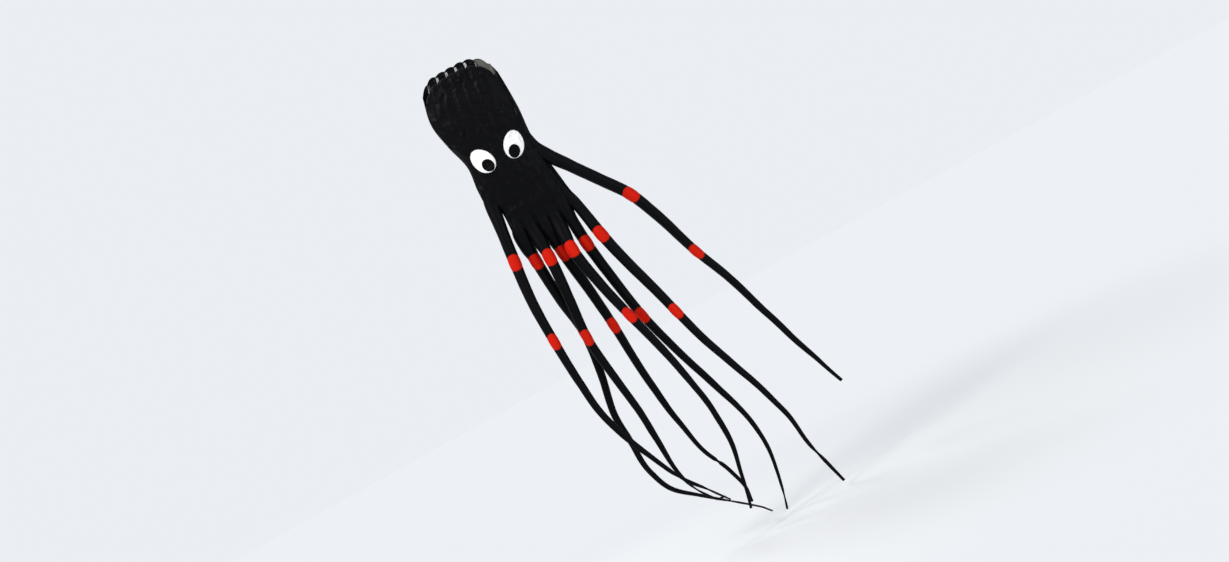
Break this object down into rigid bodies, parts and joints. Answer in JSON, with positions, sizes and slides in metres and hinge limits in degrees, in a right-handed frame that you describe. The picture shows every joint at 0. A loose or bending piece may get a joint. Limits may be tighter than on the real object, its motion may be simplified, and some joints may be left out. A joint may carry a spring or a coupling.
{
  "type": "octopus kite",
  "caption": "Soft octopus kite: an inflated black bag with open cells at its nose, large eyes, bridle loops on the belly, and long tapering legs with red bands.",
  "frame": {"origin": "middle of the tow loop's hole, on the belly just behind the mouth", "axes": "+Z towards the nose, -Y away from the belly, +X to the right as the belly is looked at; the legs trail towards -Z"},
  "size_m": [1.7585, 0.515, 4.0124],
  "materials": {
    "black_cloth": "satin",
    "rib_cloth": "satin",
    "red_cloth": "satin",
    "white_cloth": "matte",
    "pupil_cloth": "matte",
    "binding_tape": "satin",
    "webbing": "matte"
  },
  "bodies": {
    "head": {"back_hem": "binding_tape", "back_skin": "black_cloth", "belly_hem": "binding_tape", "belly_skin": "black_cloth", "bridle_loop_front_left": "webbing", "bridle_loop_front_right": "webbing", "bridle_loop_rear_left": "webbing", "bridle_loop_rear_right": "webbing", "eye_white_left": "white_cloth", "eye_white_right": "white_cloth", "leg_1_root": "black_cloth", "leg_2_root": "black_cloth", "leg_3_root": "black_cloth", "leg_4_root": "black_cloth", "leg_5_root": "black_cloth", "leg_6_root": "black_cloth", "leg_7_root": "black_cloth", "leg_8_root": "black_cloth", "pupil_left": "pupil_cloth", "pupil_right": "pupil_cloth", "rib_1": "rib_cloth", "rib_2": "rib_cloth", "rib_3": "rib_cloth", "rib_4": "rib_cloth", "rib_5": "rib_cloth", "rib_6": "rib_cloth", "rib_7": "rib_cloth", "tow_loop": "webbing"},
    "leg_1": {"leg_1_band_upper": "red_cloth", "leg_1_shank": "black_cloth", "leg_1_band_lower": "red_cloth"},
    "leg_1_tip": {"leg_1_tip": "black_cloth"},
    "leg_2": {"leg_2_band_upper": "red_cloth", "leg_2_shank": "black_cloth", "leg_2_band_lower": "red_cloth"},
    "leg_2_tip": {"leg_2_tip": "black_cloth"},
    "leg_3": {"leg_3_band_upper": "red_cloth", "leg_3_shank": "black_cloth", "leg_3_band_lower": "red_cloth"},
    "leg_3_tip": {"leg_3_tip": "black_cloth"},
    "leg_4": {"leg_4_band_upper": "red_cloth", "leg_4_shank": "black_cloth", "leg_4_band_lower": "red_cloth"},
    "leg_4_tip": {"leg_4_tip": "black_cloth"},
    "leg_5": {"leg_5_band_upper": "red_cloth", "leg_5_shank": "black_cloth", "leg_5_band_lower": "red_cloth"},
    "leg_5_tip": {"leg_5_tip": "black_cloth"},
    "leg_6": {"leg_6_band_upper": "red_cloth", "leg_6_shank": "black_cloth", "leg_6_band_lower": "red_cloth"},
    "leg_6_tip": {"leg_6_tip": "black_cloth"},
    "leg_7": {"leg_7_band_upper": "red_cloth", "leg_7_shank": "black_cloth", "leg_7_band_lower": "red_cloth"},
    "leg_7_tip": {"leg_7_tip": "black_cloth"},
    "leg_8": {"leg_8_band_upper": "red_cloth", "leg_8_shank": "black_cloth", "leg_8_band_lower": "red_cloth"},
    "leg_8_tip": {"leg_8_tip": "black_cloth"}
  },
  "joints": [
    {"name": "leg_1_sway", "type": "hinge", "parent": "head", "child": "leg_1", "pos_m": [-0.2731, 0.0692, -1.2942], "axis": [0, 1, 0], "range_deg": [-13, 13]},
    {"name": "leg_1_tip_sway", "type": "hinge", "parent": "leg_1", "child": "leg_1_tip", "pos_m": [-0.2978, -0.0335, -2.0556], "axis": [0, 1, 0], "range_deg": [-16, 16]},
    {"name": "leg_2_sway", "type": "hinge", "parent": "head", "child": "leg_2", "pos_m": [-0.1421, 0.1503, -1.3519], "axis": [0, 1, 0], "range_deg": [-13, 13]},
    {"name": "leg_2_tip_sway", "type": "hinge", "parent": "leg_2", "child": "leg_2_tip", "pos_m": [-0.0853, 0.1521, -2.0995], "axis": [0, 1, 0], "range_deg": [-16, 16]},
    {"name": "leg_3_sway", "type": "hinge", "parent": "head", "child": "leg_3", "pos_m": [-0.0394, 0.0733, -1.3783], "axis": [0, 1, 0], "range_deg": [-13, 13]},
    {"name": "leg_3_tip_sway", "type": "hinge", "parent": "leg_3", "child": "leg_3_tip", "pos_m": [-0.0777, 0.0613, -2.1424], "axis": [0, 1, 0], "range_deg": [-16, 16]},
    {"name": "leg_4_sway", "type": "hinge", "parent": "head", "child": "leg_4", "pos_m": [0.0562, 0.1575, -1.3893], "axis": [0, 1, 0], "range_deg": [-13, 13]},
    {"name": "leg_4_tip_sway", "type": "hinge", "parent": "leg_4", "child": "leg_4_tip", "pos_m": [0.1329, 0.2408, -2.1578], "axis": [0, 1, 0], "range_deg": [-16, 16]},
    {"name": "leg_5_sway", "type": "hinge", "parent": "head", "child": "leg_5", "pos_m": [0.1291, 0.0662, -1.4052], "axis": [0, 1, 0], "range_deg": [-13, 13]},
    {"name": "leg_5_tip_sway", "type": "hinge", "parent": "leg_5", "child": "leg_5_tip", "pos_m": [0.2848, -0.0209, -2.1434], "axis": [0, 1, 0], "range_deg": [-16, 16]},
    {"name": "leg_6_sway", "type": "hinge", "parent": "head", "child": "leg_6", "pos_m": [0.2395, 0.152, -1.4104], "axis": [0, 1, 0], "range_deg": [-13, 13]},
    {"name": "leg_6_tip_sway", "type": "hinge", "parent": "leg_6", "child": "leg_6_tip", "pos_m": [0.3646, 0.1486, -2.1894], "axis": [0, 1, 0], "range_deg": [-16, 16]},
    {"name": "leg_7_sway", "type": "hinge", "parent": "head", "child": "leg_7", "pos_m": [0.3573, 0.0718, -1.4104], "axis": [0, 1, 0], "range_deg": [-13, 13]},
    {"name": "leg_7_tip_sway", "type": "hinge", "parent": "leg_7", "child": "leg_7_tip", "pos_m": [0.5934, 0.0668, -2.2794], "axis": [0, 1, 0], "range_deg": [-16, 16]},
    {"name": "leg_8_sway", "type": "hinge", "parent": "head", "child": "leg_8", "pos_m": [0.666, 0.1567, -1.2652], "axis": [0, 1, 0], "range_deg": [-13, 13]},
    {"name": "leg_8_tip_sway", "type": "hinge", "parent": "leg_8", "child": "leg_8_tip", "pos_m": [0.9448, 0.2264, -1.9699], "axis": [0, 1, 0], "range_deg": [-16, 16]}
  ]
}
